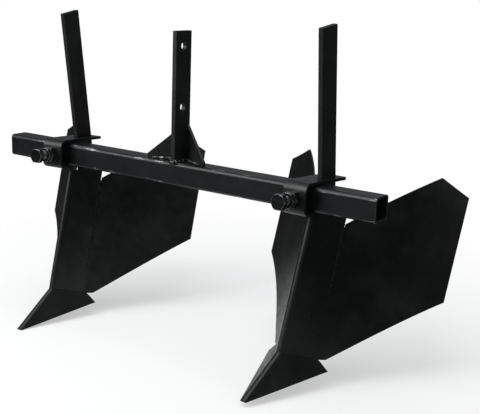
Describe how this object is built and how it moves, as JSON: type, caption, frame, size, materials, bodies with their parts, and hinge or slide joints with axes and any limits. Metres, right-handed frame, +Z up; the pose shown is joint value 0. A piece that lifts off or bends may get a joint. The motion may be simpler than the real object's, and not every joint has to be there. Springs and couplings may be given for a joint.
{
  "type": "walk behind ridger",
  "caption": "Hand farm tool with a square toolbar, a drilled upright hitch bar and leaning ridging bodies on sliding clamps, each with folded breast, flared wings and pointed share.",
  "frame": {"origin": "midway between the two hitch holes, in the middle of the hitch bar", "axes": "+X along the toolbar, +Y to the rear against the direction of pull, +Z up along the hitch bar"},
  "size_m": [0.9007, 0.3586, 0.577],
  "materials": {
    "frame_paint": "satin black paint",
    "clamp_paint": "satin black paint",
    "row_paint": "satin black paint",
    "weld_paint": "satin black paint over weld bead",
    "clamp_nut_finish": "black paint",
    "fastener_paint": "glossy black paint"
  },
  "bodies": {
    "toolbar_frame": {"toolbar": "frame_paint", "hitch_bar": "frame_paint", "right_gusset": "frame_paint", "left_gusset": "frame_paint", "hitch_welds": "weld_paint"},
    "right_clamp": {"right_clamp": "clamp_paint", "right_clamp_nut": "clamp_nut_finish"},
    "right_row": {"right_shank": "row_paint", "right_web": "row_paint", "right_frog": "row_paint", "right_breast": "row_paint", "right_share": "row_paint", "right_outer_wing": "row_paint", "right_inner_wing": "row_paint", "right_stay": "row_paint", "right_seam_welds": "weld_paint", "right_plug_welds": "weld_paint"},
    "right_set_bolt": {"right_set_bolt": "fastener_paint"},
    "right_jam_nut": {"right_jam_nut": "fastener_paint"},
    "left_clamp": {"left_clamp": "clamp_paint", "left_clamp_nut": "clamp_nut_finish"},
    "left_row": {"left_shank": "row_paint", "left_web": "row_paint", "left_frog": "row_paint", "left_breast": "row_paint", "left_share": "row_paint", "left_outer_wing": "row_paint", "left_inner_wing": "row_paint", "left_stay": "row_paint", "left_seam_welds": "weld_paint", "left_plug_welds": "weld_paint"},
    "left_set_bolt": {"left_set_bolt": "fastener_paint"},
    "left_jam_nut": {"left_jam_nut": "fastener_paint"}
  },
  "joints": [
    {"name": "right_row_spacing", "type": "slide", "parent": "toolbar_frame", "child": "right_clamp", "axis": [1, 0, 0], "range_m": [-0.08, 0.1]},
    {"name": "right_row_depth", "type": "slide", "parent": "right_clamp", "child": "right_row", "axis": [0.036, -0.1522, 0.9877], "range_m": [-0.18, 0.001]},
    {"name": "right_set_bolt_travel", "type": "slide", "parent": "right_clamp", "child": "right_set_bolt", "axis": [-0.0448, -0.9979, 0.0462], "range_m": [0, 0.012]},
    {"name": "right_jam_nut_travel", "type": "slide", "parent": "right_clamp", "child": "right_jam_nut", "axis": [-0.0448, -0.9979, 0.0462], "range_m": [0, 0.01]},
    {"name": "left_row_spacing", "type": "slide", "parent": "toolbar_frame", "child": "left_clamp", "axis": [1, 0, 0], "range_m": [-0.1, 0.08]},
    {"name": "left_row_depth", "type": "slide", "parent": "left_clamp", "child": "left_row", "axis": [0.0237, -0.1611, 0.9867], "range_m": [-0.18, 0.007]},
    {"name": "left_set_bolt_travel", "type": "slide", "parent": "left_clamp", "child": "left_set_bolt", "axis": [0.079, -0.9955, 0.0523], "range_m": [0, 0.012]},
    {"name": "left_jam_nut_travel", "type": "slide", "parent": "left_clamp", "child": "left_jam_nut", "axis": [0.079, -0.9955, 0.0523], "range_m": [0, 0.01]}
  ]
}
